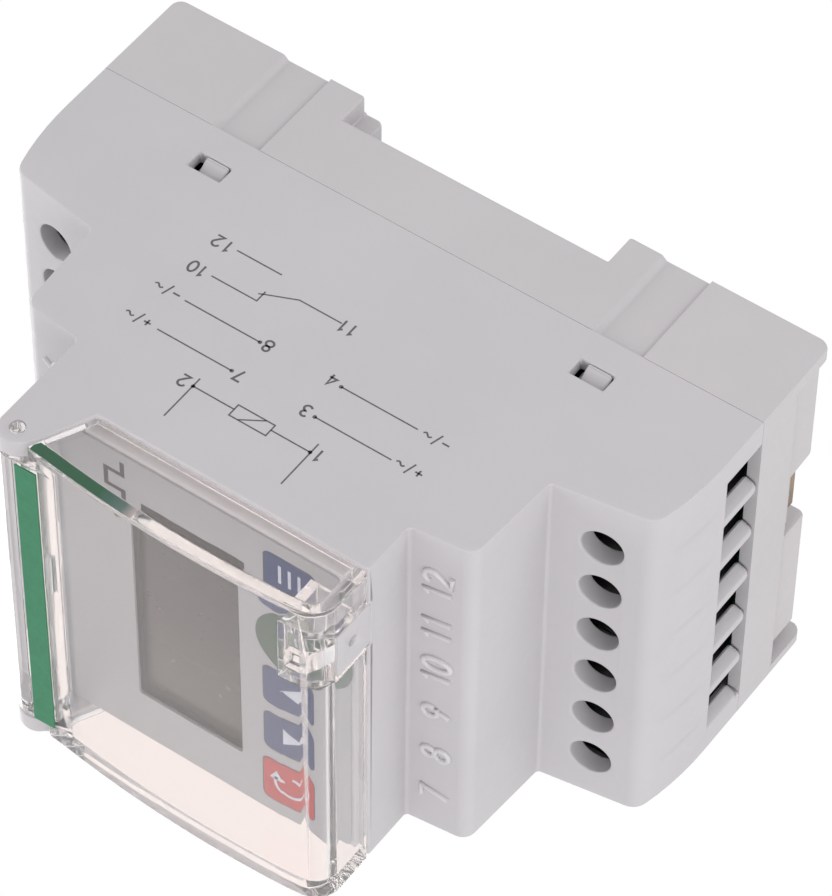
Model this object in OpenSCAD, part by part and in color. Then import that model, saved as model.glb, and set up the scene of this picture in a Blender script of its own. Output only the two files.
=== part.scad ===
// Rail-mounted digital pulse counter with a clear flip cover.
// Millimetres. X to the right, Y towards the rail, Z up; front faces -Y.
// The origin is the middle of the rail seat (floor of the rail channel).

/* [Housing] */
// overall width over the side faces
body_w = 52.5; // [52:0.25:53]
// half of the overall height at the seam
half_h = 45; // [44.8:0.1:45.4]
// wall thickness of the front housing
wall = 2; // [1.8:0.1:2.1]
// front edge of the rear tray
seam_y = -9.35; // [-9.45:0.05:-9.3]
// gap shown at the seam
seam_gap = 0.05; // [0.04:0.01:0.15]

/* [Rail] */
// half width of the rail channel
rail_half = 18.2; // [18.1:0.05:18.3]
// depth of the feet behind the rail seat
foot_y = 4.45; // [4.3:0.05:4.6]
// half length of the fixed hook
hook_half = 23.5; // [20:0.5:24]

/* [Terminals] */
// distance between terminals
pitch = 7.62; // [7.6:0.01:7.66]
// sideways offset of the terminal rows
row_x = -0.5; // [-0.6:0.05:-0.4]
// radius of the screw access holes
access_r = 2.5; // [2.4:0.05:2.6]
// width of a wire window
window_w = 6.7; // [6.4:0.1:6.8]
// distance of the screw axes from the middle
screw_z = 37.35; // [37.25:0.05:37.45]

/* [Display] */
// half width of the display window
lcd_half_w = 15.6; // [15:0.1:16]
// lower edge of the display window
lcd_z0 = -6.85; // [-7:0.05:-6.5]
// upper edge of the display window
lcd_z1 = 7.6; // [7:0.1:8]
// front face of the display panel
panel_y = -52.2; // [-52.3:0.05:-52.1]
// height of the keys above or below the middle
key_z = -13.2; // [-13.5:0.1:-13]

/* [Cover] */
// wall thickness of the clear cover
cover_t = 2; // [1.8:0.1:2]
// radius of the hinge barrel
barrel_r = 2.3; // [2.2:0.05:2.35]
// radius of the moulded hinge stubs
pin_r = 0.85; // [0.7:0.05:0.87]

/* [Hidden] */
hw = body_w / 2;
hinge = [-57.08, 19.93];
ear_in = hw - 2.55;
plate_in = hw - 1.6;
slot_y = -1.3;
win_hi = window_w / 2 + 0.5;
win_lo = window_w / 2 - 0.5;
rim_y = -50.8;
foil_t = 0.3;
KEYS = [-17.25, -8.1, 0.3, 9, 17.75];
$fn = 48;

// ---- helpers ----
// drawing in the (Y, Z) plane, drawn out along X
module ex(x0, x1) translate([x0, 0, 0]) rotate([90, 0, 90]) linear_extrude(height = x1 - x0) children();
// drawing in the (X, Z) plane, drawn out along Y from y0 to y1
module ey(y0, y1) translate([0, y1, 0]) rotate([90, 0, 0]) linear_extrude(height = y1 - y0) children();
module bx(a, b) translate(a) cube(b - a);
module cyl_y(x, z, y0, y1, r) translate([x, y1, z]) rotate([90, 0, 0]) cylinder(h = y1 - y0, r = r);
module cyl_x(y, z, x0, x1, r) translate([x0, y, z]) rotate([0, 90, 0]) cylinder(h = x1 - x0, r = r);
module cyl_z(x, y, z0, z1, r) translate([x, y, z0]) cylinder(h = z1 - z0, r = r);
// corner rounding of a point list: each point is [y, z, radius]
function unit(v) = v / norm(v);
function corner(a, b, c, r) = let (u = unit(a - b), v = unit(c - b), h = acos(u * v) / 2, d = r / tan(h),
    p = b + u * d, m = b + unit(u + v) * (r / sin(h)), s = -sign(u[0] * v[1] - u[1] * v[0]), t0 = atan2(p[1] - m[1], p[0] - m[0]))
    [for (k = [0:5]) m + r * [cos(t0 + s * k * (180 - 2 * h) / 5), sin(t0 + s * k * (180 - 2 * h) / 5)]];
function p2(p) = [p[0], p[1]];
function soft(l) = [for (i = [0:len(l) - 1]) let (n = len(l), a = p2(l[(i + n - 1) % n]), b = p2(l[i]), c = p2(l[(i + 1) % n]))
    each (l[i][2] > 0 ? corner(a, b, c, l[i][2]) : [b])];
module square_soft(x0, z0, x1, z1, r) {
  translate([x0 + r, z0]) square([x1 - x0 - 2 * r, z1 - z0]);
  translate([x0, z0 + r]) square([x1 - x0, z1 - z0 - 2 * r]);
  for (x = [x0 + r, x1 - r], z = [z0 + r, z1 - r]) translate([x, z]) circle(r);
}
function tx(i) = row_x + (i - 2.5) * pitch;
// terminal number 1..6 in the upper row, 7..12 in the lower row
function tn_x(n) = tx((n - 1) % 6);
function tn_s(n) = n <= 6 ? 1 : -1;

// ---- housing ----
// space between the side plates behind each end; the wall's edge and the feet are rounded
function end_space(s) = concat([[foot_y + 1, s * (half_h + 1)], [slot_y - 1.5025, s * (half_h + 1)]],
  [for (k = [0:6]) let (a = k * 69.893 / 6) [slot_y - 1.5025 + 1.6 * sin(a), s * (half_h - 1.6 + 1.6 * cos(a))]],
  [for (a = [0:18:90]) [foot_y - 0.9 + 0.9 * sin(a), s * (half_h - 1.95 + 0.9 * cos(a))]], [[foot_y + 1, s * (half_h - 1.95)]]);
module base_housing() color([0.76, 0.75, 0.76]) difference() {
  union() {
    difference() {
      ex(-hw, hw) polygon(soft([[seam_y, -half_h, 0], [foot_y, -half_h, 1.6], [foot_y, -rail_half, 0.4], [0, -rail_half, 0],
        [0, rail_half, 0], [foot_y, rail_half, 0.4], [foot_y, half_h, 1.4], [seam_y, half_h, 0]]));
      for (s = [-1, 1]) ex(-plate_in, plate_in) polygon(end_space(s));
      // tray inside
      ex(-hw + 2.8, hw - 2.8) polygon([[seam_y - 1, 1.6 - half_h], [-7.6, 1.6 - half_h], [-6.6, 2.2 - half_h], [-4.9, 2.2 - half_h], [-4.9, -16.4], [-2.2, -16.4],
        [-2.2, 20.4], [2.4, 20.4], [2.4, half_h - 2.2], [-6.6, half_h - 2.2], [-7.6, half_h - 1.6], [seam_y - 1, half_h - 1.6]]);
      // side grooves, the upper wall of each is slanted
      for (s = [-1, 1]) ey(seam_y - 1, foot_y + 1) {
        polygon([[s * (hw + 1), 23.1], [s * (hw - 0.65), 23.1], [s * (hw - 0.65), 29], [s * hw, 29.6], [s * (hw + 1), 30.5]]);
        polygon([[s * (hw + 1), -29.1], [s * (hw - 0.65), -29.1], [s * (hw - 0.65), -23.2], [s * hw, -22.6], [s * (hw + 1), -21.7]]);
      }
      // slot of the rail clip, with a rounded corner on the foot beside it
      bx([-plate_in, slot_y, -half_h - 1], [7.1, foot_y + 1, 0.1 - rail_half]);
      difference() {
        bx([7, foot_y - 1.2, -half_h], [8.3, foot_y + 1, 0.1 - rail_half]);
        cyl_z(8.3, foot_y - 1.2, -half_h - 1, 0, 1.2);
      }
      // guide groove of the clip
      bx([7, slot_y, -43.5], [8.9, 0.6, -19]);
    }
    // lip over the clip's guide
    bx([-plate_in - 0.1, 0.6, -42.4], [-23.4, 1.8, -19]);
    // fixed hook behind the rail's upper edge
    ex(-hook_half, hook_half) polygon([[1.35, rail_half + 0.2], [1.35, 15.9], [1.8, 15.5], [3.9, 15.5], [foot_y, 16.1], [foot_y, rail_half + 0.2]]);
    // seat of the clip spring
    bx([-0.9, slot_y - 0.1, -43.95], [7.15, -0.3, -43.3]);
    // snap arms with wedge hooks
    for (s = [-1, 1], t = [-1, 1]) {
      bx([s > 0 ? 22.6 : -24, -16.4, t > 0 ? 24 : -28.1], [s > 0 ? 24 : -22.6, -4.95, t > 0 ? 28.1 : -24]);
      translate([0, 0, t > 0 ? 24.05 : -28.05]) linear_extrude(height = 3.2)
        polygon([[s * 23.9, -15.55], [s * 24.9, -15.55], [s * 26.1, -13.8], [s * 26.1, -13.5], [s * 23.9, -13.5]]);
    }
    // posts for the main board
    for (x = [-19, 19]) { cyl_y(x, 26.5, -6.4, 2.5, 2.2); cyl_y(x, -26.5, -6.4, -4.8, 2.2); }
  }
}

// the end faces curve in towards the front
function end_arc(s) = [for (k = [0:4]) let (d = s < 0 ? 2 * k : 8 - 2 * k) [-16.5 - d, s * (half_h - d * d / 80), 0]];
module body_outline() polygon(soft(concat([[seam_y - seam_gap, -half_h, 0]], end_arc(-1), [[-27.85, 1.6 - half_h, 2.2], [-29.9, -31.1, 0.5],
  [-42.7, -30.2, 1.8], [-43.6, -22.35, 0.5], [rim_y, -22.3, 0.4], [rim_y, 22.3, 0], [-43.6, 22.35, 0.5], [-42.7, 30.2, 1.8], [-29.9, 31.1, 0.5],
  [-27.85, half_h - 1.6, 2.2]], end_arc(1), [[seam_y - seam_gap, half_h, 0]])));
module body_hollow() polygon([[-9, 2.4 - half_h], [-25.4, 2.4 - half_h], [-27.6, -29.4], [-40.7, -28.5], [-41.5, -20.4], [-49.9, -20.4],
  [-49.9, 20.4], [-41.5, 20.4], [-40.7, 28.5], [-27.6, 29.4], [-25.4, half_h - 2.4], [-9, half_h - 2.4]]);
module body_shell() color([0.77, 0.76, 0.77]) difference() {
  union() {
    difference() {
      union() {
        ex(-hw, hw) body_outline();
        // raised panel
        bx([-23.9, panel_y, -20], [23.9, rim_y + 0.5, 18.6]);
        // low bar behind the hinge, between the ears
        ex(-ear_in - 0.05, ear_in + 0.05) polygon([[-50, 18], [panel_y + 0.6, 18.4], [panel_y - 0.1, 18.4], [-54, 18.7], [-54, 19.7], [-51.4, 20.6], [-50, 20.6]]);
        // hinge ears
        for (x = [-hw, ear_in]) ex(x, x + hw - ear_in) {
          polygon([[-50, 13.5], [rim_y, 13.9], [-58.24, 17.57], [-59.2, 18.9], [-58.6, 21.4], [-57.08, 22.3], [-50, 22.3]]);
          translate(hinge) circle(2.37);
        }
        // sealing tongue
        bx([13.2, -56.35, -22.3], [20.2, -50.5, -21]);
      }
      ex(-hw + wall, hw - wall) body_hollow();
      // wire windows, open to the seam
      for (s = [-1, 1]) bx([tx(0) - win_lo, -15.95, s > 0 ? 42 : -46], [tx(5) + win_hi, -9, s > 0 ? 46 : -42]);
      // snap windows
      for (s = [-1, 1], t = [-1, 1]) bx([s > 0 ? hw - 3 : -hw - 1, -15.8, t > 0 ? 23.8 : -28.3], [s > 0 ? hw + 1 : -hw + 3, -13.4, t > 0 ? 28.3 : -23.8]);
      // soft creases in the curved end faces
      for (i = [0:5], s = [-1, 1]) translate([tx(i) + 0.4, -15.316, s * (half_h + 0.244)]) rotate([90 + s * 7.244, 0, 0])
        linear_extrude(height = 12.3) polygon([[0, 0], [2.6, s], [-2.6, s]]);
      // notch in the bar
      bx([-1.2, -55, 18], [7.8, -52.5, 21]);
    }
    // ribs between the wire windows, thicker towards the inside to lead the wire in
    for (s = [-1, 1]) intersection() {
      ex(-hw, hw) polygon(soft([[-16.2, s * half_h, 0], [-9.5, s * half_h, 0.7], [-9.5, s * (half_h - 1.9), 0.5], [-16.2, s * (half_h - 1.9), 0]]));
      ey(-17, -9) {
        for (i = [0:4]) polygon([[tx(i) + win_hi, s * (half_h + 1)], [tx(i) + win_hi, s * half_h], [tx(i) + 2.3, s * (half_h - 1.5)], [tx(i) + 2.3, s * (half_h - 3)],
          [tx(i + 1) - 2.3, s * (half_h - 3)], [tx(i + 1) - 2.3, s * (half_h - 1.5)], [tx(i + 1) - win_lo, s * half_h], [tx(i + 1) - win_lo, s * (half_h + 1)]]);
        polygon([[tx(0) - win_lo - 0.3, s * (half_h + 1)], [tx(0) - win_lo, s * (half_h + 1)], [tx(0) - win_lo, s * half_h],
          [tx(0) - 2.3, s * (half_h - 1.5)], [tx(0) - 2.3, s * (half_h - 3)], [tx(0) - win_lo - 0.3, s * (half_h - 3)]]);
        polygon([[tx(5) + win_hi + 0.3, s * (half_h + 1)], [tx(5) + win_hi, s * (half_h + 1)], [tx(5) + win_hi, s * half_h],
          [tx(5) + 2.3, s * (half_h - 1.5)], [tx(5) + 2.3, s * (half_h - 3)], [tx(5) + win_hi + 0.3, s * (half_h - 3)]]);
      }
    }
    // posts for the display board
    for (x = [-21.8, 21.8], z = [-18.2, 14.6]) cyl_y(x, z, -50, -46.95, 2.1);
  }
  // screw access holes
  for (i = [0:5], s = [-1, 1]) cyl_y(tx(i), s * screw_z, -31, -24, access_r);
  // display window and switch holes
  bx([-17, panel_y - 1, -8.2], [17, -49, 9]);
  for (x = KEYS) cyl_y(x, key_z, panel_y - 1, -49, 2);
  // hinge holes
  cyl_x(hinge[0], hinge[1], -hw - 1, hw + 1, pin_r + 0.04);
  // sealing hole
  cyl_z(16.9, -53.6, -23, -20, 0.65);
  // pilot holes for the board screws
  for (x = [-21.8, 21.8], z = [-18.2, 14.6]) cyl_y(x, z, -51, -46, 0.8);
}

// ---- clear cover ----
function bow(z, d) = -60.2 + d + (z + 5.5) * (z + 5.5) / 326;
module cover_outline() polygon(concat([[rim_y - 0.3, -22.3]], corner([rim_y, -22.3], [bow(-22.3, 0), -22.3], [bow(-12, 0), -12], 3.2),
  [for (z = [-17:2:15]) [bow(z, 0), z]], [[-58.7, 17.4], [rim_y - 0.3, 13.7]]));
module cover_hollow() polygon(concat([[rim_y + 1, -22.3 + cover_t]], corner([rim_y, -22.3 + cover_t], [bow(-20.3, cover_t), -22.3 + cover_t], [bow(-12, cover_t), -12], 1.4),
  [for (z = [-17:2:15]) [bow(z, cover_t), z]], [[-56.6, 19], [rim_y + 1, 19]]));
module front_cover() color([0.9, 0.95, 0.97, 0.35]) difference() {
  union() {
    difference() {
      ex(-hw, hw) cover_outline();
      ex(-hw + cover_t, hw - cover_t) cover_hollow();
    }
    // hinge part between the ears
    ex(-23.4, 23.4) {
      polygon([[-57.1, 13.5], [bow(13.5, 0.05), 13.5], [-59.3, 19.2], [-57.08, 20.5], [-55.4, 18.6], [-56.6, 16.5]]);
      translate(hinge) circle(barrel_r);
    }
    // hinge stubs
    for (x = [-26.1, 23.2]) cyl_x(hinge[0], hinge[1], x, x + 2.9, pin_r);
    // latch pocket
    bx([11.9, -58.5, -17.2], [21.5, -52.9, -16.2]);
    for (x = [11.9, 20.5]) bx([x, -58.5, -20.5], [x + 1, -52.9, -16.2]);
  }
  // cut-out for the tongue and square sealing hole
  bx([12.9, -56.7, -23], [20.5, -50, -20.2]);
  bx([15.3, -62, -20.2], [18.3, -55, -17.6]);
  // finger notch in the hinge edge
  bx([-3.2, -62, 21.5], [3.2, -50, 24]);
}
module cover_strip() color([0.05, 0.42, 0.28]) ex(-23, 23)
  polygon([[-59.23, 15.9], [-59.39, 15.9], [-59.49, 18.75], [-59.33, 18.75]]);

// ---- display ----
module front_foil() color([0.72, 0.71, 0.72]) ey(panel_y - foil_t, panel_y) difference() {
  square_soft(-23.4, -19.6, 23.4, 18.1, 0.8);
  square_soft(-lcd_half_w, lcd_z0, lcd_half_w, lcd_z1, 0.4);
}
module lcd_glass() color([0.5, 0.51, 0.48]) bx([-16.7, -51.4, -7.9], [16.7, -49.6, 8.7]);
module lcd_holder() color([0.93, 0.93, 0.9]) {
  bx([-16.9, -49.6, -8.1], [16.9, -47.3, 8.9]);
  for (x = [-14, 14], z = [-6, 6.8]) cyl_y(x, z, -47.4, -46.9, 1.2);
}
module display_board() color([0.06, 0.3, 0.16]) difference() {
  ey(-46.9, -45.3) square_soft(-23.8, -19.8, 23.8, 17.2, 0.6);
  for (x = [-21.8, 21.8], z = [-18.2, 14.6]) cyl_y(x, z, -48, -44, 1.1);
}
module board_screws() color([0.7, 0.7, 0.72]) for (x = [-21.8, 21.8], z = [-18.2, 14.6]) difference() {
  union() { cyl_y(x, z, -45.3, -43.9, 1.7); cyl_y(x, z, -49.6, -45.2, 0.78); }
  bx([x - 0.25, -44.5, z - 1.2], [x + 0.25, -43, z + 1.2]);
  bx([x - 1.2, -44.5, z - 0.25], [x + 1.2, -43, z + 0.25]);
}
module tact_switches() color([0.12, 0.12, 0.13]) for (x = KEYS) difference() {
  bx([x - 3, -49.7, key_z - 3], [x + 3, -46.9, key_z + 3]);
  cyl_y(x, key_z, -51, -48.4, 1.75);
}
module plunger(x) color([0.85, 0.84, 0.8]) { cyl_y(x, key_z, -51.85, -48.9, 1.68); }
module microcontroller() color([0.1, 0.1, 0.11]) {
  bx([-7, -45.0, -7], [7, -43.7, 7]);
  for (k = [0:10]) {
    bx([-6.2 + 1.2 * k, -45.3, -8.2], [-5.8 + 1.2 * k, -44.6, -6.9]);
    bx([-6.2 + 1.2 * k, -45.3, 6.9], [-5.8 + 1.2 * k, -44.6, 8.2]);
  }
}
module riser_board() color([0.06, 0.3, 0.16]) bx([-12, -43.5, 17], [12, -9.8, 18.6]);
module riser_headers() color([0.14, 0.14, 0.15]) {
  bx([-11, -45.3, 15], [11, -43.2, 16.95]);
  bx([-11, -10.6, 15], [11, -8, 16.95]);
}
module main_board() color([0.06, 0.3, 0.16]) difference() {
  ey(-8, -6.4) square_soft(-22.3, -41.8, 22.3, 41.8, 0.8);
  for (x = [-19, 19], z = [-26.5, 26.5]) cyl_y(x, z, -9, -5, 1.2);
}
module relay() color([0.1, 0.22, 0.5]) { bx([-20, -23.5, -10], [-4.5, -8.3, 9.2]); for (x = [-18, -7], z = [-8, 7]) cyl_y(x, z, -8.4, -8.02, 0.5); }
module transformer() color([0.75, 0.6, 0.2]) {
  bx([0, -25, -9], [4, -9, 9]);
  bx([15, -25, -9], [19, -9, 9]);
  bx([3.9, -13, -9], [15.1, -9, 9]);
  bx([3.9, -25, -9], [15.1, -21, 9]);
  bx([3.9, -20.7, -11], [15.1, -13.3, 11]);
  bx([2, -9.1, -8], [17, -8, 8]);
}
module electrolytic_capacitors() color([0.12, 0.13, 0.2]) for (p = [[-17, 20.5], [14, -20.5]]) {
  cyl_y(p[0], p[1], -20, -8.2, 4);
  cyl_y(p[0], p[1], -20.2, -19.9, 3.2);
}
module film_capacitor() color([0.75, 0.62, 0.15]) bx([4.5, -19, 20.5], [17.5, -8.1, 25.5]);
module varistor() color([0.15, 0.35, 0.7]) { translate([-3, -15.5, -23]) cylinder(h = 4, r = 4.5); for (x = [-5, -1]) cyl_y(x, -21, -12, -8.02, 0.35); }
module optocouplers() color([0.92, 0.92, 0.9]) for (x = [-20, -14]) {
  bx([x, -11.6, -23], [x + 4.6, -8.4, -16.5]);
  for (k = [0.8, 3.4], z = [-23.6, -16]) bx([x + k, -9.8, z], [x + k + 0.5, -8.02, z + 0.3]);
  for (k = [0.8, 3.4], z = [-23.6, -16.6]) bx([x + k, -9.8, z], [x + k + 0.5, -9.5, z + 0.9]);
}

// ---- terminals ----
// block of three poles, first pole at index i; s is +1 in the upper row
module terminal_block(i, s) color([0.07, 0.07, 0.08]) difference() {
  bx([tx(i) - 3.71, -25.2, s > 0 ? 31.6 : -42.3], [tx(i + 2) + 3.71, -8, s > 0 ? 42.3 : -31.6]);
  for (k = [i:i + 2]) {
    bx([tx(k) - 3.1, -24.3, s > 0 ? 34.5 : -40.3], [tx(k) + 3.1, -8.6, s > 0 ? 40.3 : -34.5]);
    bx([tx(k) - 2.3, -14.15, s > 0 ? 40 : -43], [tx(k) + 2.3, -9.6, s > 0 ? 43 : -40]);
    cyl_y(tx(k), s * screw_z, -26, -24, 2.3);
    bx([tx(k) - 2.05, -15.05, s > 0 ? 33 : -34.7], [tx(k) + 2.05, -14.15, s > 0 ? 34.7 : -33]);
  }
}
module contact_bars() color([0.8, 0.78, 0.7]) for (i = [0:5], s = [-1, 1]) {
  bx([tx(i) - 2, -15, s > 0 ? 33.05 : -40.1], [tx(i) + 2, -14.2, s > 0 ? 40.1 : -33.05]);
}
// slotted clamping screw
module terminal_screw(n) color([0.78, 0.78, 0.8]) difference() {
  union() { cyl_y(tn_x(n), tn_s(n) * screw_z, -25.5, -24.3, 2); cyl_y(tn_x(n), tn_s(n) * screw_z, -24.4, -15.35, 1.5); }
  bx([tn_x(n) - 2.5, -26, tn_s(n) * screw_z - 0.3], [tn_x(n) + 2.5, -24.9, tn_s(n) * screw_z + 0.3]);
}
// rising clamp cage around the contact bar
module clamp_cage(n) color([0.8, 0.8, 0.78]) difference() {
  bx([tn_x(n) - 2.8, -20.4, tn_s(n) * screw_z - 2.5], [tn_x(n) + 2.8, -8.9, tn_s(n) * screw_z + 2.5]);
  bx([tn_x(n) - 2.25, -19.2, tn_s(n) * screw_z - 3], [tn_x(n) + 2.25, -9.7, tn_s(n) * screw_z + 3]);
  cyl_y(tn_x(n), tn_s(n) * screw_z, -21, -19, 1.56);
}

// ---- rail clip ----
module rail_clip() color([0.75, 0.74, 0.75]) difference() {
  union() {
    ex(-23.1, -3.6) polygon(soft([[-1, -43.95, 0], [foot_y - 0.25, -43.95, 0.9], [foot_y - 0.25, -17.2, 0], [3.2, -15.6, 0], [1.9, -15.6, 0],
      [1.4, -16.1, 0], [1.4, -18.6, 0], [-1, -18.6, 0]]));
    // guide flanges
    bx([-24.3, -1, -38.4], [-23, 0.2, -20.5]);
    bx([-3.7, -1, -31.6], [8.5, 0.2, -20.5]);
    bx([-3.7, -1, -31.6], [6.7, 2.6, -29]);
  }
  // lightening slots
  for (x = [-20.5, -11.5]) bx([x, 0.9, -40.5], [x + 5.5, 6, -28]);
}
// flat bronze strip folded to and fro
module clip_spring() color([0.6, 0.42, 0.24]) ey(-0.85, 2.4) {
  for (k = [0:4]) translate([k == 0 ? -0.6 : 1.9, -43.1 + 2.675 * k]) square([k == 0 ? 5.6 : k == 4 ? 4.6 : 3.1, 0.5]);
  for (k = [0:3]) translate([k % 2 == 0 ? 5 : 1.9, -42.85 + 2.675 * k + 1.3375]) intersection() {
    difference() { circle(1.5875); circle(1.0875); }
    translate([k % 2 == 0 ? 0 : -3, -3]) square([3, 6]);
  }
}

base_housing();
body_shell();
front_cover();
cover_strip();
front_foil();
lcd_glass();
lcd_holder();
display_board();
board_screws();
tact_switches();
microcontroller();
plunger(KEYS[0]);  // plunger_reset
plunger(KEYS[1]);  // plunger_down
plunger(KEYS[2]);  // plunger_up
plunger(KEYS[3]);  // plunger_ok
plunger(KEYS[4]);  // plunger_menu
riser_board();
riser_headers();
main_board();
relay();
transformer();
electrolytic_capacitors();
film_capacitor();
varistor();
optocouplers();
terminal_block(0, 1);  // terminal_block_ul
terminal_block(3, 1);  // terminal_block_ur
terminal_block(0, -1);  // terminal_block_ll
terminal_block(3, -1);  // terminal_block_lr
contact_bars();
rail_clip();
clip_spring();
terminal_screw(1);  // screw_1
terminal_screw(2);  // screw_2
terminal_screw(3);  // screw_3
terminal_screw(4);  // screw_4
terminal_screw(5);  // screw_5
terminal_screw(6);  // screw_6
terminal_screw(7);  // screw_7
terminal_screw(8);  // screw_8
terminal_screw(9);  // screw_9
terminal_screw(10);  // screw_10
terminal_screw(11);  // screw_11
terminal_screw(12);  // screw_12
clamp_cage(1);  // cage_1
clamp_cage(2);  // cage_2
clamp_cage(3);  // cage_3
clamp_cage(4);  // cage_4
clamp_cage(5);  // cage_5
clamp_cage(6);  // cage_6
clamp_cage(7);  // cage_7
clamp_cage(8);  // cage_8
clamp_cage(9);  // cage_9
clamp_cage(10);  // cage_10
clamp_cage(11);  // cage_11
clamp_cage(12);  // cage_12
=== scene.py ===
import math
import random

import bmesh
import bpy
from mathutils import Matrix, Vector
from mathutils.bvhtree import BVHTree


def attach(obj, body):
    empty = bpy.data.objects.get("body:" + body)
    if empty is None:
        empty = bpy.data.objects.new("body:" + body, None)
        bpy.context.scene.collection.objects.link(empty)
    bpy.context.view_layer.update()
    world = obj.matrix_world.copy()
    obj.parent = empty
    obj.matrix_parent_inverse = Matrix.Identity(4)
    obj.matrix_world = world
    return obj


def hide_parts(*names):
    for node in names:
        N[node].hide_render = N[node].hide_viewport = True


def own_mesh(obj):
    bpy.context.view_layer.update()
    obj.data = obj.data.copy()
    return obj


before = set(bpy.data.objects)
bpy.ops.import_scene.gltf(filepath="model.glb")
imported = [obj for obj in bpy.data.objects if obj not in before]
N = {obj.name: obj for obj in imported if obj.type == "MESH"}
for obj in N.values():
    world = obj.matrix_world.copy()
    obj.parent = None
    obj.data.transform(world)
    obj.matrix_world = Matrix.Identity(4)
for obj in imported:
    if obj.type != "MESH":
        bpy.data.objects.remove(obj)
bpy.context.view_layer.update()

MM = 0.001
HW = 26.25
scene = bpy.context.scene


# ---------------------------------------------------------------- camera
def make_camera():
    fwd = Vector((-0.7722257367, 0.5202960631, 0.3646360079))
    right = Vector((0.0081644236, 0.5819941588, -0.8131519793))
    down = Vector((-0.6352958002, -0.6249598434, -0.4536787855))
    pos = Vector((455.79288, -323.75924, -219.43354)) * MM
    data = bpy.data.cameras.new("camera")
    data.sensor_width = 36.0
    data.lens = 5174.5398 * 36.0 / 896.0
    data.clip_start = 0.02
    data.clip_end = 20.0
    cam = bpy.data.objects.new("camera", data)
    scene.collection.objects.link(cam)
    up, back = -down, -fwd
    cam.matrix_world = Matrix(((right.x, up.x, back.x, pos.x), (right.y, up.y, back.y, pos.y),
                               (right.z, up.z, back.z, pos.z), (0, 0, 0, 1)))
    scene.camera = cam


make_camera()
scene.view_settings.view_transform = "Standard"
# the clear cover needs many turns of light inside its walls
scene.cycles.max_bounces = 32
scene.cycles.transmission_bounces = 32
scene.cycles.glossy_bounces = 16
scene.cycles.transparent_max_bounces = 24


# ---------------------------------------------------------------- studio
def make_studio():
    world = bpy.data.worlds.new("studio")
    world.use_nodes = True
    nt = world.node_tree
    nt.nodes.clear()
    out = nt.nodes.new("ShaderNodeOutputWorld")
    seen = nt.nodes.new("ShaderNodeBackground")
    seen.inputs["Color"].default_value = (1, 1, 1, 1)
    seen.inputs["Strength"].default_value = 1.0
    lit = nt.nodes.new("ShaderNodeBackground")
    lit.inputs["Color"].default_value = (1.0, 0.99, 0.995, 1)
    lit.inputs["Strength"].default_value = 0.815
    through = nt.nodes.new("ShaderNodeBackground")
    through.inputs["Color"].default_value = (1.03, 0.94, 0.89, 1)
    through.inputs["Strength"].default_value = 1.0
    path = nt.nodes.new("ShaderNodeLightPath")
    glass = nt.nodes.new("ShaderNodeMixShader")
    mix = nt.nodes.new("ShaderNodeMixShader")
    nt.links.new(path.outputs["Is Transmission Ray"], glass.inputs[0])
    nt.links.new(lit.outputs[0], glass.inputs[1])
    nt.links.new(through.outputs[0], glass.inputs[2])
    nt.links.new(path.outputs["Is Camera Ray"], mix.inputs[0])
    nt.links.new(glass.outputs[0], mix.inputs[1])
    nt.links.new(seen.outputs[0], mix.inputs[2])
    nt.links.new(mix.outputs[0], out.inputs[0])
    scene.world = world

    def area(name, pos, size, watts, target=(0, -0.025, 0)):
        data = bpy.data.lights.new(name, "AREA")
        data.shape = "DISK"
        data.size = size
        data.energy = watts
        ob = bpy.data.objects.new(name, data)
        scene.collection.objects.link(ob)
        ob.location = pos
        ob.rotation_euler = (Vector(target) - Vector(pos)).to_track_quat("-Z", "Y").to_euler()
        ob.visible_camera = False
        ob.visible_transmission = False
        return ob

    area("key", (0.045, -0.635, -0.339), 0.36, 1.35)
    area("low", (0.40, 0.10, -0.40), 0.30, 0.74)
    area("fill", (0.25, -0.55, 1.0), 1.0, 5.6)
    area("rim", (-0.9, 0.3, 0.7), 0.9, 4.0)

    me = bpy.data.meshes.new("floor")
    bm = bmesh.new()
    bmesh.ops.create_grid(bm, x_segments=8, y_segments=8, size=4.0)
    bmesh.ops.translate(bm, verts=bm.verts, vec=(0, 0, -0.62))
    bm.to_mesh(me)
    bm.free()
    floor = bpy.data.objects.new("floor", me)
    scene.collection.objects.link(floor)
    m, nt, b = blank("floor_paper")
    tint(nt, b, (0.86, 0.86, 0.86), 0.02, 3.0)
    b.inputs["Roughness"].default_value = 0.9
    me.materials.append(m)


# ---------------------------------------------------------------- material helpers
def blank(name):
    m = bpy.data.materials.new(name)
    m.use_nodes = True
    nt = m.node_tree
    nt.nodes.clear()
    out = nt.nodes.new("ShaderNodeOutputMaterial")
    b = nt.nodes.new("ShaderNodeBsdfPrincipled")
    nt.links.new(b.outputs[0], out.inputs[0])
    return m, nt, b


def coords(nt, stretch=(1, 1, 1)):
    tc = nt.nodes.new("ShaderNodeTexCoord")
    mp = nt.nodes.new("ShaderNodeMapping")
    mp.inputs["Scale"].default_value = stretch
    nt.links.new(tc.outputs["Object"], mp.inputs["Vector"])
    return mp.outputs[0]


def noise(nt, scale, detail=3.0, rough=0.55, stretch=(1, 1, 1), distort=0.0):
    n = nt.nodes.new("ShaderNodeTexNoise")
    n.inputs["Scale"].default_value = scale
    n.inputs["Detail"].default_value = detail
    n.inputs["Roughness"].default_value = rough
    n.inputs["Distortion"].default_value = distort
    nt.links.new(coords(nt, stretch), n.inputs["Vector"])
    return n.outputs["Fac"]


def ramp(nt, fac, stops):
    r = nt.nodes.new("ShaderNodeValToRGB")
    while len(r.color_ramp.elements) < len(stops):
        r.color_ramp.elements.new(0.5)
    for e, (p, c) in zip(r.color_ramp.elements, stops):
        e.position = p
        e.color = (c[0], c[1], c[2], 1)
    nt.links.new(fac, r.inputs[0])
    return r.outputs[0]


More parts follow.
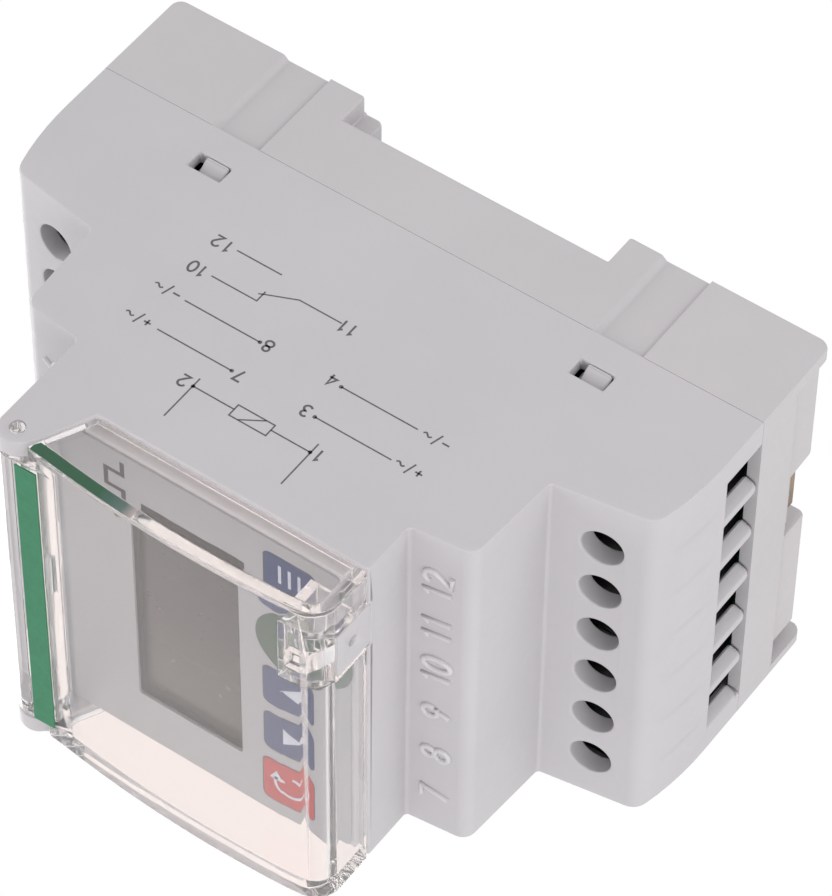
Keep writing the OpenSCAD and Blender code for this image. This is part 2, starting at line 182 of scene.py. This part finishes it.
def span(nt, fac, lo, hi, a=0.3, b=0.7):
    r = nt.nodes.new("ShaderNodeMapRange")
    r.inputs["From Min"].default_value = a
    r.inputs["From Max"].default_value = b
    r.inputs["To Min"].default_value = lo
    r.inputs["To Max"].default_value = hi
    nt.links.new(fac, r.inputs["Value"])
    return r.outputs[0]


def tint(nt, b, rgb, var, scale, detail=4.0):
    lo = [max(0.0, c * (1 - var)) for c in rgb]
    hi = [min(1.0, c * (1 + var)) for c in rgb]
    nt.links.new(ramp(nt, noise(nt, scale, detail), [(0.32, lo), (0.68, hi)]), b.inputs["Base Color"])


def bumps(nt, b, layers):
    """layers: list of (height socket, distance in metres, strength)."""
    last = None
    for h, dist, strength in layers:
        n = nt.nodes.new("ShaderNodeBump")
        n.inputs["Distance"].default_value = dist
        n.inputs["Strength"].default_value = strength
        nt.links.new(h, n.inputs["Height"])
        if last is not None:
            nt.links.new(last, n.inputs["Normal"])
        last = n.outputs[0]
    nt.links.new(last, b.inputs["Normal"])


def moulded(name, rgb, var=0.02, rough=(0.46, 0.6), grain=2600, depth=0.00002, blotch=55):
    """Moulded plastic: faint flow marks in the colour, spark-eroded grain, uneven gloss."""
    m, nt, b = blank(name)
    tint(nt, b, rgb, var, blotch)
    g = noise(nt, grain, 2.0, 0.6)
    nt.links.new(span(nt, noise(nt, grain * 0.3, 3.0), rough[0], rough[1]), b.inputs["Roughness"])
    bumps(nt, b, [(noise(nt, 140, 2.0), depth * 2.0, 0.08), (g, depth, 0.35)])
    return m


def metal(name, rgb, rough=(0.2, 0.42), stretch=(1, 1, 12), scale=900, var=0.08):
    m, nt, b = blank(name)
    b.inputs["Metallic"].default_value = 1.0
    tint(nt, b, rgb, var, 400)
    s = noise(nt, scale, 4.0, 0.6, stretch)
    nt.links.new(span(nt, s, rough[0], rough[1]), b.inputs["Roughness"])
    bumps(nt, b, [(s, 0.00001, 0.3)])
    return m


def clear(name, rgb, rough, scale, waves):
    """Clear moulded polycarbonate: handling haze, faint flow waves; lamps shine through it."""
    m, nt, b = blank(name)
    b.inputs["Base Color"].default_value = (rgb[0], rgb[1], rgb[2], 1)
    b.inputs["Transmission Weight"].default_value = 0.978
    b.inputs["IOR"].default_value = 1.53
    nt.links.new(span(nt, noise(nt, scale, 5.0, 0.65), rough[0], rough[1], 0.42, 0.72), b.inputs["Roughness"])
    bumps(nt, b, [(noise(nt, 60, 1.5), waves, 0.25)])
    out = [n for n in nt.nodes if n.type == "OUTPUT_MATERIAL"][0]
    path = nt.nodes.new("ShaderNodeLightPath")
    thru = nt.nodes.new("ShaderNodeBsdfTransparent")
    thru.inputs["Color"].default_value = (0.93, 0.93, 0.93, 1)
    mix = nt.nodes.new("ShaderNodeMixShader")
    nt.links.new(path.outputs["Is Shadow Ray"], mix.inputs[0])
    nt.links.new(b.outputs[0], mix.inputs[1])
    nt.links.new(thru.outputs[0], mix.inputs[2])
    nt.links.new(mix.outputs[0], out.inputs[0])
    return m


def ink(name, rgb, var=0.06, rough=(0.38, 0.55), scale=1500):
    """Screen-printed ink: slightly uneven cover and gloss."""
    m, nt, b = blank(name)
    tint(nt, b, rgb, var, scale, 3.0)
    nt.links.new(span(nt, noise(nt, scale * 1.7, 2.0), rough[0], rough[1]), b.inputs["Roughness"])
    bumps(nt, b, [(noise(nt, scale * 2.0, 2.0), 0.000004, 0.25)])
    return m


def board(name):
    """Green lacquered board: copper tracks show as paler lines under the lacquer."""
    m, nt, b = blank(name)
    w = nt.nodes.new("ShaderNodeTexWave")
    w.inputs["Scale"].default_value = 260
    w.inputs["Distortion"].default_value = 3.0
    w.inputs["Detail"].default_value = 2.0
    nt.links.new(coords(nt), w.inputs["Vector"])
    nt.links.new(ramp(nt, w.outputs["Fac"], [(0.55, (0.008, 0.075, 0.03)), (0.62, (0.02, 0.16, 0.06))]), b.inputs["Base Color"])
    nt.links.new(span(nt, noise(nt, 700), 0.25, 0.45), b.inputs["Roughness"])
    bumps(nt, b, [(w.outputs["Fac"], 0.00003, 0.3)])
    return m


def display(name):
    """Idle reflective display: dark grey cell with painted shading, darker towards the +X edge and paler and warmer
    towards the left end, a few dust specks.
    """
    m, nt, b = blank(name)
    tc = nt.nodes.new("ShaderNodeTexCoord")
    sep = nt.nodes.new("ShaderNodeSeparateXYZ")
    nt.links.new(tc.outputs["Object"], sep.inputs[0])
    # painted shade: the cell darkens towards the +X edge and pales towards the -X end
    painted_shade_across = span(nt, sep.outputs["X"], 0.0, 1.0, 0.016, -0.016)
    mott = nt.nodes.new("ShaderNodeMath")
    mott.operation = "MULTIPLY_ADD"
    mott.inputs[1].default_value = 0.22
    nt.links.new(noise(nt, 70, 2.0, 0.5), mott.inputs[0])
    nt.links.new(painted_shade_across, mott.inputs[2])
    col = ramp(nt, mott.outputs[0], [(0.08, (0.007, 0.007, 0.008)), (0.55, (0.022, 0.021, 0.020)), (1.0, (0.056, 0.049, 0.045))])
    v = nt.nodes.new("ShaderNodeTexVoronoi")
    v.inputs["Scale"].default_value = 210
    nt.links.new(coords(nt), v.inputs["Vector"])
    dust = ramp(nt, v.outputs["Distance"], [(0.020, (1, 1, 1)), (0.036, (0, 0, 0))])
    mul = nt.nodes.new("ShaderNodeMath")
    mul.operation = "MULTIPLY"
    nt.links.new(dust, mul.inputs[0])
    nt.links.new(ramp(nt, noise(nt, 160, 1.0), [(0.56, (0, 0, 0)), (0.60, (1, 1, 1))]), mul.inputs[1])
    mx = nt.nodes.new("ShaderNodeMix")
    mx.data_type = "RGBA"
    nt.links.new(mul.outputs[0], mx.inputs["Factor"])
    nt.links.new(col, mx.inputs["A"])
    mx.inputs["B"].default_value = (0.4, 0.4, 0.4, 1)
    nt.links.new(mx.outputs["Result"], b.inputs["Base Color"])
    nt.links.new(span(nt, noise(nt, 600, 2.0), 0.20, 0.28), b.inputs["Roughness"])
    bumps(nt, b, [(noise(nt, 240, 2.0), 0.000004, 0.12)])
    return m


def painted_piped_light(name):
    """Painted light: the strip's green glow carried inside the clear plate, painted as colour, deep green near the
    strip, paling away from it into a painted pinkish reflection of the pale surroundings.
    """
    m, nt, b = blank(name)
    tc = nt.nodes.new("ShaderNodeTexCoord")
    sep = nt.nodes.new("ShaderNodeSeparateXYZ")
    nt.links.new(tc.outputs["Object"], sep.inputs[0])
    up = span(nt, sep.outputs["Z"], 0.0, 1.0, 0.002, 0.018)
    mott = nt.nodes.new("ShaderNodeMath")
    mott.operation = "MULTIPLY_ADD"
    mott.inputs[1].default_value = 0.05
    nt.links.new(noise(nt, 500, 3.0), mott.inputs[0])
    nt.links.new(up, mott.inputs[2])
    # painted glow colours: pinkish far from the strip, deep green next to it
    col = ramp(nt, mott.outputs[0], [(0.05, (0.55, 0.47, 0.48)), (0.14, (0.11, 0.19, 0.17)), (0.26, (0.04, 0.135, 0.10)), (0.36, (0.0, 0.105, 0.036))])
    b.inputs["Specular IOR Level"].default_value = 0.0
    nt.links.new(col, b.inputs["Base Color"])
    nt.links.new(span(nt, noise(nt, 900, 2.0), 0.5, 0.65), b.inputs["Roughness"])
    return m


M = {
    "housing": moulded("housing_grey", (0.512, 0.496, 0.512)),
    # raised numerals: the housing plastic, glossier, with a lighter colour that is a painted highlight
    "glossy_painted_highlight": moulded("housing_glossy_painted_highlight", (0.590, 0.574, 0.590), 0.02, (0.26, 0.36), 2600, 0.00001),
    "base": moulded("base_grey", (0.507, 0.490, 0.503)),
    "clip": moulded("clip_grey", (0.512, 0.492, 0.500)),
    "clear": clear("clear_cover", (0.985, 0.966, 0.968), (0.0, 0.05), 320, 0.00002),
    "strip": ink("strip_green", (0.0146, 0.170, 0.076), 0.08, (0.3, 0.42), 900),
    # painted glow of the strip inside the clear plate
    "painted_glow": painted_piped_light("strip_painted_piped_light"),
    "film": moulded("key_film", (0.314, 0.316, 0.333), 0.012, (0.34, 0.44), 4200, 0.000008, 40),
    "lcd": display("display_glass"),
    "mask": ink("display_mask", (0.03, 0.028, 0.028), 0.1, (0.4, 0.5), 1200),
    "white": moulded("white_plastic", (0.80, 0.80, 0.77), 0.02, (0.35, 0.5)),
    "board": board("circuit_board"),
    "black": moulded("black_plastic", (0.016, 0.016, 0.017), 0.15, (0.42, 0.6)),
    "blue": moulded("blue_plastic", (0.02, 0.05, 0.22), 0.08, (0.3, 0.45)),
    "coil": moulded("coil_tape", (0.55, 0.36, 0.04), 0.08, (0.3, 0.5)),
    "steel": metal("plated_steel", (0.62, 0.62, 0.64)),
    "tin": metal("tinned_brass", (0.66, 0.62, 0.50), (0.25, 0.45)),
    "bronze": metal("bronze_strip", (0.36, 0.25, 0.155), (0.24, 0.42), (1, 14, 1), 700, 0.14),
    "print": ink("side_print", (0.108, 0.101, 0.101), 0.18, (0.45, 0.6), 2200),
    "key_blue": ink("key_blue", (0.005, 0.024, 0.110), 0.08),
    "key_red": ink("key_red", (0.37, 0.016, 0.013), 0.08),
    "key_green": ink("key_green", (0.018, 0.060, 0.032), 0.08),
    "key_line": ink("key_line", (0.03, 0.035, 0.05), 0.1),
    "key_white": ink("key_white", (0.47, 0.50, 0.57), 0.05),
}

make_studio()


# ---------------------------------------------------------------- mesh helpers
def add(name, me, mat, body):
    me.materials.clear()
    me.materials.append(M[mat])
    ob = bpy.data.objects.new(name, me)
    scene.collection.objects.link(ob)
    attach(ob, body)
    return ob


def softened(node, body, mat, width, angle=32.0, segments=2, skip=None):
    """The node's own shape with small moulded radii along its edges."""
    bm = bmesh.new()
    bm.from_mesh(N[node].data)
    bmesh.ops.remove_doubles(bm, verts=bm.verts, dist=2e-6)
    bmesh.ops.dissolve_limit(bm, angle_limit=math.radians(0.5), verts=bm.verts, edges=bm.edges, use_dissolve_boundaries=False)
    lim = math.radians(angle)
    sharp = []
    for e in bm.edges:
        if len(e.link_faces) == 2 and e.calc_face_angle(0.0) > lim:
            if skip is None or not skip(e):
                sharp.append(e)
    tree = BVHTree.FromBMesh(bm)
    lo = [min(v.co[k] for v in bm.verts) for k in range(3)]
    hi = [max(v.co[k] for v in bm.verts) for k in range(3)]
    bmesh.ops.bevel(bm, geom=sharp, offset=width, offset_type="OFFSET", segments=segments, profile=0.5,
                    affect="EDGES", clamp_overlap=False, miter_outer="SHARP", harden_normals=False)
    # a rounded edge stays close to the plain shape: points thrown off at tight corners go back onto it
    for v in bm.verts:
        near, _, _, gap = tree.find_nearest(v.co)
        if near is not None and gap > 0.42 * width:
            v.co = near
        v.co = [min(max(v.co[k], lo[k]), hi[k]) for k in range(3)]
    bmesh.ops.remove_doubles(bm, verts=bm.verts, dist=2e-6)
    bmesh.ops.dissolve_degenerate(bm, dist=1e-6, edges=bm.edges)
    bmesh.ops.triangulate(bm, faces=[f for f in bm.faces if len(f.verts) > 4])
    for f in bm.faces:
        f.smooth = True
    for e in bm.edges:
        e.smooth = not (len(e.link_faces) != 2 or e.calc_face_angle(0.0) > math.radians(44))
    me = bpy.data.meshes.new(node + "_soft")
    bm.to_mesh(me)
    bm.free()
    ob = add(node + "_soft", me, mat, body)
    wn = ob.modifiers.new("even", "WEIGHTED_NORMAL")
    wn.mode = "FACE_AREA"
    wn.weight = 50
    wn.keep_sharp = True
    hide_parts(node)
    return ob


def mesh_from(name, verts, faces):
    me = bpy.data.meshes.new(name)
    me.from_pydata([tuple(v) for v in verts], [], faces)
    me.validate()
    me.update()
    return me


class Sheet:
    """Collects flat print in a plane: place(u, v) gives the point in millimetres."""

    def __init__(self, place):
        self.place, self.v, self.f = place, [], []

    def poly(self, pts):
        n = len(self.v)
        self.v += [Vector(self.place(u, w)) * MM for u, w in pts]
        self.f.append(list(range(n, n + len(pts))))

    def line(self, pts, width, closed=False):
        pts = [Vector(p) for p in pts]
        n = len(pts)
        left, right = [], []
        for i, p in enumerate(pts):
            a = pts[(i - 1) % n] if (i > 0 or closed) else None
            c = pts[(i + 1) % n] if (i < n - 1 or closed) else None
            d0 = (p - a).normalized() if a is not None else None
            d1 = (c - p).normalized() if c is not None else None
            d0, d1 = d0 or d1, d1 or d0
            t = (d0 + d1).normalized()
            nrm = Vector((-t.y, t.x))
            k = max(0.5, nrm.dot(Vector((-d0.y, d0.x))))
            left.append(p + nrm * (width / 2 / k))
            right.append(p - nrm * (width / 2 / k))
        m = n if closed else n - 1
        for i in range(m):
            j = (i + 1) % n
            self.poly([right[i], right[j], left[j], left[i]])

    def disc(self, c, r, n=20):
        self.poly([(c[0] + r * math.cos(2 * math.pi * k / n), c[1] + r * math.sin(2 * math.pi * k / n)) for k in range(n)])

    def text(self, s, c, size, turn=0.0):
        cu = bpy.data.curves.new("t", "FONT")
        cu.body, cu.size, cu.align_x, cu.align_y = s, size, "CENTER", "CENTER"
        cu.resolution_u = 3
        ob = bpy.data.objects.new("t", cu)
        scene.collection.objects.link(ob)
        bpy.context.view_layer.update()
        me = bpy.data.meshes.new_from_object(ob.evaluated_get(bpy.context.evaluated_depsgraph_get()))
        n = len(self.v)
        ct, st = math.cos(turn), math.sin(turn)
        self.v += [Vector(self.place(c[0] + v.co.x * ct - v.co.y * st, c[1] + v.co.x * st + v.co.y * ct)) * MM for v in me.vertices]
        self.f += [[n + k for k in p.vertices] for p in me.polygons]
        bpy.data.objects.remove(ob)
        bpy.data.curves.remove(cu)
        bpy.data.meshes.remove(me)

    def make(self, name, mat, body, slot=None, out=None):
        me = mesh_from(name, self.v, self.f)
        if out is not None:
            bm = bmesh.new()
            bm.from_mesh(me)
            bm.normal_update()
            for f in bm.faces:
                if f.normal.dot(Vector(out)) < 0:
                    f.normal_flip()
            bm.to_mesh(me)
            bm.free()
        return add(name, me, mat, body)


def arc(c, r, a0, a1, n=16, ry=None):
    ry = r if ry is None else ry
    return [(c[0] + r * math.cos(math.radians(a0 + (a1 - a0) * k / n)), c[1] + ry * math.sin(math.radians(a0 + (a1 - a0) * k / n))) for k in range(n + 1)]


def round_rect(x0, z0, x1, z1, r, n=6):
    return (arc((x1 - r, z0 + r), r, -90, 0, n) + arc((x1 - r, z1 - r), r, 0, 90, n)
            + arc((x0 + r, z1 - r), r, 90, 180, n) + arc((x0 + r, z0 + r), r, 180, 270, n))


# ---------------------------------------------------------------- CAD nodes
def kept_crisp(e):
    """Edges of the seam, of the shallow creases in the end faces, of the thin side plates at the feet and of the clip slot's mouth."""
    a, c = e.verts[0].co, e.verts[1].co
    seam = all(-9.43 * MM < v.y < -9.32 * MM for v in (a, c))
    crease = all(abs(v.z) > 43.6 * MM and -26.2 * MM < v.y < -16.9 * MM and abs(v.x) < 24 * MM for v in (a, c))
    plate = all(abs(abs(v.x) - 24.65 * MM) < 0.06 * MM and abs(v.z) > 42.9 * MM and v.y > -3.2 * MM for v in (a, c))
    mouth = all(v.z < -43.2 * MM and -3.2 * MM < v.y < 0.75 * MM and -24.8 * MM < v.x < 9.2 * MM for v in (a, c))
    return seam or crease or plate or mouth


softened("body_shell", "housing", "housing", 0.32 * MM, skip=kept_crisp)
softened("base_housing", "housing", "base", 0.28 * MM, skip=kept_crisp)
softened("rail_clip", "clip", "clip", 0.3 * MM)
softened("front_cover", "cover", "clear", 0.16 * MM)

PLAIN = {"cover_strip": "strip", "front_foil": "film", "lcd_glass": "lcd", "lcd_holder": "white", "display_board": "board",
         "board_screws": "steel", "tact_switches": "black", "microcontroller": "black", "riser_board": "board",
         "riser_headers": "black", "main_board": "board", "relay": "blue", "transformer": "coil",
         "electrolytic_capacitors": "black", "film_capacitor": "coil", "varistor": "blue", "optocouplers": "white",
         "contact_bars": "tin", "terminal_block_ul": "black", "terminal_block_ur": "black",
         "terminal_block_ll": "black", "terminal_block_lr": "black"}
for k in ("reset", "down", "up", "ok", "menu"):
    PLAIN["plunger_" + k] = "white"
for k in range(1, 13):
    PLAIN["screw_%d" % k] = "steel"
    PLAIN["cage_%d" % k] = "steel"
for node, mat in PLAIN.items():
    ob = N[node]
    for s in ob.material_slots:
        s.material = M[mat]


# ---------------------------------------------------------------- clip spring
def spring():
    zs = [-42.85 + 2.675 * k for k in range(5)]
    rad = 2.675 / 2
    path = [(-0.6, zs[0]), (2.0, zs[0]), (5.0, zs[0])]
    for k in range(4):
        zc = zs[k] + rad
        if k % 2 == 0:
            path += arc((5.0, zc), rad, -90, 90, 18)[1:]
            path += [(3.4, zs[k + 1]), (1.9, zs[k + 1])]
        else:
            path += [(1.9 - rad * math.sin(math.radians(a)), zc - rad * math.cos(math.radians(a))) for a in range(10, 181, 10)]
            path += [(3.4, zs[k + 1]), (5.0, zs[k + 1])] if k < 3 else [(4.2, zs[4]), (6.5, zs[4])]
    # strip section with rounded edges: thickness across the path, width along Y
    t, y0, y1, r = 0.25, -0.85, 2.4, 0.14
    sec = [(-t, y0 + r), (-t + r * 0.3, y0 + r * 0.3), (-t + r, y0), (t - r, y0), (t - r * 0.3, y0 + r * 0.3), (t, y0 + r),
           (t, y1 - r), (t - r * 0.3, y1 - r * 0.3), (t - r, y1), (-t + r, y1), (-t + r * 0.3, y1 - r * 0.3), (-t, y1 - r)]
    verts, faces = [], []
    pts = [Vector(p) for p in path]
    m = len(sec)
    for i, p in enumerate(pts):
        d = (pts[min(i + 1, len(pts) - 1)] - pts[max(i - 1, 0)]).normalized()
        nrm = Vector((-d.y, d.x))
        for s, y in sec:
            q = p + nrm * s
            verts.append((q.x * MM, y * MM, q.y * MM))
        if i:
            a, b = (i - 1) * m, i * m
            faces += [[a + k, a + (k + 1) % m, b + (k + 1) % m, b + k] for k in range(m)]
    faces += [list(range(m))[::-1], list(range((len(pts) - 1) * m, len(pts) * m))]
    me = mesh_from("spring_strip", verts, faces)
    bm = bmesh.new()
    bm.from_mesh(me)
    bmesh.ops.recalc_face_normals(bm, faces=bm.faces)
    for f in bm.faces:
        f.smooth = len(f.verts) == 4
    bm.to_mesh(me)
    bm.free()
    ob = add("spring_strip", me, "bronze", "housing")
    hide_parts("clip_spring")
    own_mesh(ob)


spring()

# ---------------------------------------------------------------- printed keys on the film
FY = -52.5
LIFT = 0.012


def film(k):
    return lambda x, z: (x, FY - LIFT * k, z)


OKC, OKR, GAP = (9.1, -14.5), 5.3, 0.65
lines, blue, red, green, white = Sheet(film(1)), Sheet(film(2)), Sheet(film(2)), Sheet(film(2)), Sheet(film(3))


def cut_right(x0, z0, x1, z1, r, grow):
    pts = round_rect(x0, z0, x1, z1, r, 6)
    rr = OKR + GAP - grow
    out = []
    for i, (x, z) in enumerate(pts):
        out.append((x, z))
        x2, z2 = pts[(i + 1) % len(pts)]
        if abs(x - x2) < 1e-6 and abs(z2 - z) > 1.0:
            out += [(x, z + (z2 - z) * k / 24) for k in range(1, 24)]
    res = []
    for x, z in out:
        dz = z - OKC[1]
        if abs(dz) < rr:
            lim = OKC[0] - math.sqrt(rr * rr - dz * dz)
            x = min(x, lim) if x < OKC[0] else max(x, 2 * OKC[0] - lim)
        res.append((x, z))
    return res


def key(sheet, x0, z0, x1, z1, r=0.9, k=0.16):
    lines.poly(cut_right(x0 - k, z0 - k, x1 + k, z1 + k, r + k, k))
    sheet.poly(cut_right(x0, z0, x1, z1, r, 0.0))


key(red, -21.0, -16.4, -13.5, -9.75)
key(blue, -11.4, -16.4, -4.8, -10.0)
key(blue, -3.0, -16.4, 3.6, -10.0)
key(blue, 14.4, -16.4, 21.2, -9.6)
lines.disc(OKC, OKR + 0.16, 56)
green.disc(OKC, OKR, 56)
# arrows, circular arrow, list lines, tick
white.poly([(-9.5, -12.3), (-8.1, -14.5), (-6.7, -12.3)])
white.poly([(-1.1, -14.4), (1.7, -14.4), (0.3, -12.2)])
white.line(arc((-17.25, -13.1), 1.75, 60, 350, 26), 0.42)
white.poly([(-16.9, -10.55), (-16.9, -12.55), (-15.2, -11.55)])
for dz in (-1.3, 0.0, 1.3):
    white.line([(16.8, -13.0 + dz), (19.8, -13.0 + dz)], 0.4)
white.line([(7.3, -14.3), (8.6, -15.7), (11.1, -12.6)], 0.45)
lines.make("key_outlines", "key_line", "housing", "film_print", (0, -1, 0))
blue.make("keys_blue", "key_blue", "housing", "film_print", (0, -1, 0))
red.make("key_red", "key_red", "housing", "film_print", (0, -1, 0))
green.make("key_green", "key_green", "housing", "film_print", (0, -1, 0))
white.make("key_symbols", "key_white", "housing", "film_print", (0, -1, 0))

pulse = Sheet(film(1))
pulse.line([(14.9, 9.5), (17.1, 9.5), (17.1, 11.8), (19.8, 11.8), (19.8, 9.5), (22.0, 9.5)], 0.62)
pulse.make("pulse_symbol", "mask", "housing", "film_print", (0, -1, 0))

# painted light: the glow that the front plate carries from the strip to its side edge, painted as a thin coloured
# layer just inside that edge
def painted_glow_layer():
    rows = []
    for k in range(32):
        z = 2.4 + 14.6 * k / 31
        y0 = -60.2 + (z + 5.5) ** 2 / 326 if z < 15 else -58.91 + (z - 15) * 0.0875
        rows.append((z, y0 + 0.14, min(y0 + 1.45, -58.85 + (17.4 - z) * 2.054)))
    verts = [(26.0 * MM, y * MM, z * MM) for z, a, c in rows for y in (a, (a + c) / 2, c)]
    faces = []
    for k in range(31):
        for j in (0, 1):
            faces.append([3 * k + j, 3 * k + j + 1, 3 * k + j + 4, 3 * k + j + 3])
    add("strip_painted_glow", mesh_from("strip_painted_glow", verts, faces), "painted_glow", "cover")


painted_glow_layer()

# painted shade: a dark strip on the film along the right edge of the display window, where the window edge casts
# shade
edge = Sheet(film(1))
edge.poly([(15.6, -6.9), (16.75, -6.9), (16.75, 7.1), (15.6, 7.1)])
edge.make("window_painted_shade", "mask", "housing", "film_print", (0, -1, 0))

# black frame of the display cell, seen in the window; its strip along the +X edge is widened so that a dark band
# shows there, a painted shadow of the window edge
mask = Sheet(lambda x, z: (x, -51.415, z))
mask.poly([(14.7, -7.8), (16.6, -7.8), (16.6, 8.6), (14.7, 8.6)])
mask.poly([(-16.6, -7.8), (-15.45, -7.8), (-15.45, 8.6), (-16.6, 8.6)])
mask.poly([(-15.45, 7.45), (14.7, 7.45), (14.7, 8.6), (-15.45, 8.6)])
mask.poly([(-15.45, -7.8), (14.7, -7.8), (14.7, -6.75), (-15.45, -6.75)])
mask.make("display_frame_and_painted_shadow", "mask", "housing", "display_glass", (0, -1, 0))

# ---------------------------------------------------------------- numerals
GLYPH = {
    "0": [arc((0.28, 0.5), 0.27, 0, 360, 28, 0.48)],
    "1": [[(0.12, 0.8), (0.3, 0.98), (0.3, 0.02)]],
    "2": [arc((0.28, 0.72), 0.26, 170, -30, 14, 0.26) + [(0.28, 0.3), (0.02, 0.02), (0.56, 0.02)]],
    "3": [arc((0.26, 0.75), 0.23, 150, -80, 12, 0.23) + arc((0.26, 0.27), 0.27, 80, -150, 14, 0.25)],
    "4": [[(0.42, 0.02), (0.42, 0.98), (0.02, 0.3), (0.56, 0.3)]],
    "5": [[(0.52, 0.98), (0.1, 0.98), (0.06, 0.55)] + arc((0.26, 0.32), 0.28, 130, -145, 16, 0.3)],
    "6": [[(0.42, 0.98), (0.1, 0.5)] + arc((0.28, 0.3), 0.26, 150, 510, 24, 0.28)],
    "7": [[(0.02, 0.98), (0.54, 0.98), (0.2, 0.02)]],
    "8": [arc((0.28, 0.74), 0.22, 0, 360, 22, 0.23), arc((0.28, 0.27), 0.27, 0, 360, 24, 0.25)],
    "9": [arc((0.28, 0.7), 0.25, -30, 330, 22, 0.27) + [(0.22, 0.02)]],
}

# ---------------------------------------------------------------- connection diagram on the right side
sp = Sheet(lambda a, b: (HW + 0.014, -b, a))  # a runs up (+Z), b towards the front (-Y)
W1 = 0.18


def num(ch, y, z):
    """One printed numeral, centred at (y, z)."""
    for stroke in GLYPH[ch]:
        closed = (Vector(stroke[0]) - Vector(stroke[-1])).length < 1e-4
        mid = 0.21 if ch == "1" else 0.28
        pts = [(z + (u - mid) * 1.78, -y + (v - 0.5) * 1.66) for u, v in (stroke[:-1] if closed else stroke)]
        sp.line(pts, 0.27, closed)


def ln(*pts, w=W1):
    sp.line([(z, -y) for y, z in pts], w)


def dot(y, z, r=0.26):
    sp.disc((z, -y), r)


def polarity(y, z, plus):
    """Direct or alternating supply: a sign, a stroke and a wave."""
    ln((y, z - 1.62), (y, z - 0.72), w=0.23)
    if plus:
        ln((y - 0.45, z - 1.17), (y + 0.45, z - 1.17), w=0.23)
    ln((y + 0.86, z - 0.24), (y - 0.86, z + 0.24), w=0.21)
    sp.line([(z + 0.68 + 1.1 * k / 12, -y + 0.2 * math.sin(2 * math.pi * k / 12)) for k in range(13)], 0.21)


num("1", -23.08, 17.0)
num("2", -23.08, 18.55)
ln((-22.93, 15.97), (-22.93, 9.79))
num("1", -27.66, 17.15)
num("0", -27.66, 18.5)
ln((-27.6, 16.02), (-27.6, 9.78), (-25.96, 9.78))
ln((-26.66, 10.27), (-26.36, 9.67), (-24.75, 6.02), (-24.75, 0.25))
num("1", -24.9, -1.38)
num("1", -24.9, -0.16)
num("8", -32.14, 4.85)
dot(-32.2, 5.9)
ln((-32.2, 16.22), (-32.2, 5.9))
num("7", -37.35, 4.8)
dot(-37.28, 5.95)
ln((-37.28, 16.15), (-37.28, 5.95))
num("2", -41.46, 9.35)
dot(-41.5, 8.02)
ln((-40.19, 8.05), (-46.68, 8.05))
ln((-41.5, 8.02), (-41.5, 2.5))
sp.line([(2.45, 40.72), (2.45, 42.47), (-2.5, 42.47), (-2.5, 40.72)], W1, closed=True)
ln((-42.43, 1.26), (-40.76, -1.35))
ln((-41.52, -2.5), (-41.52, -7.75))
dot(-41.52, -7.75)
ln((-40.04, -7.82), (-46.87, -7.82))
num("1", -41.36, -8.9)
num("4", -31.96, -3.7)
dot(-32.14, -5.04)
ln((-32.14, -5.04), (-32.14, -15.27))
num("3", -37.11, -3.95)
dot(-37.25, -5.24)
ln((-37.25, -5.24), (-37.25, -15.44))
polarity(-32.05, 18.64, False)
polarity(-37.17, 18.75, True)
polarity(-32.13, -17.79, False)
polarity(-37.08, -17.75, True)
sp.make("side_diagram", "print", "housing", "housing_grey", (1, 0, 0))

# ---------------------------------------------------------------- raised terminal numbers
def raised(name, labels, sgn):
    """Raised strokes with rounded tops on the sloping step beside the display."""
    curve = bpy.data.curves.new(name, "CURVE")
    curve.dimensions = "3D"
    curve.bevel_depth = 0.36 * MM
    curve.bevel_resolution = 4
    curve.use_fill_caps = True
    H, wd = 3.5, 3.4
    for text, xc in labels:
        adv = 2.35
        x = xc - (len(text) * adv - 0.45) / 2
        for ch in text:
            for stroke in GLYPH[ch]:
                pts = [(x + u * wd, (-27.75 if sgn < 0 else 24.25) + v * H) for u, v in stroke]
                closed = (Vector(pts[0]) - Vector(pts[-1])).length < 1e-4
                if closed:
                    pts = pts[:-1]
                s = curve.splines.new("POLY")
                s.points.add(len(pts) - 1)
                s.use_cyclic_u = closed
                for p, (px, pz) in zip(s.points, pts):
                    y = -43.6 + (abs(pz) - 22.35) * (0.9 / 7.85) - 0.06
                    p.co = (px * MM, y * MM, pz * MM, 1)
            x += adv
    ob = bpy.data.objects.new(name, curve)
    scene.collection.objects.link(ob)
    bpy.context.view_layer.update()
    me = bpy.data.meshes.new_from_object(ob.evaluated_get(bpy.context.evaluated_depsgraph_get()))
    bpy.data.objects.remove(ob)
    for p in me.polygons:
        p.use_smooth = True
    me.name = name
    # the strokes take the glossier plastic whose lighter colour is a painted highlight
    add(name, me, "glossy_painted_highlight", "housing")


TX = [-0.5 + (i - 2.5) * 7.62 for i in range(6)]
raised("numbers_lower", [(str(7 + i), TX[i]) for i in range(6)], -1)
raised("numbers_upper", [(str(1 + i), TX[i]) for i in range(6)], 1)
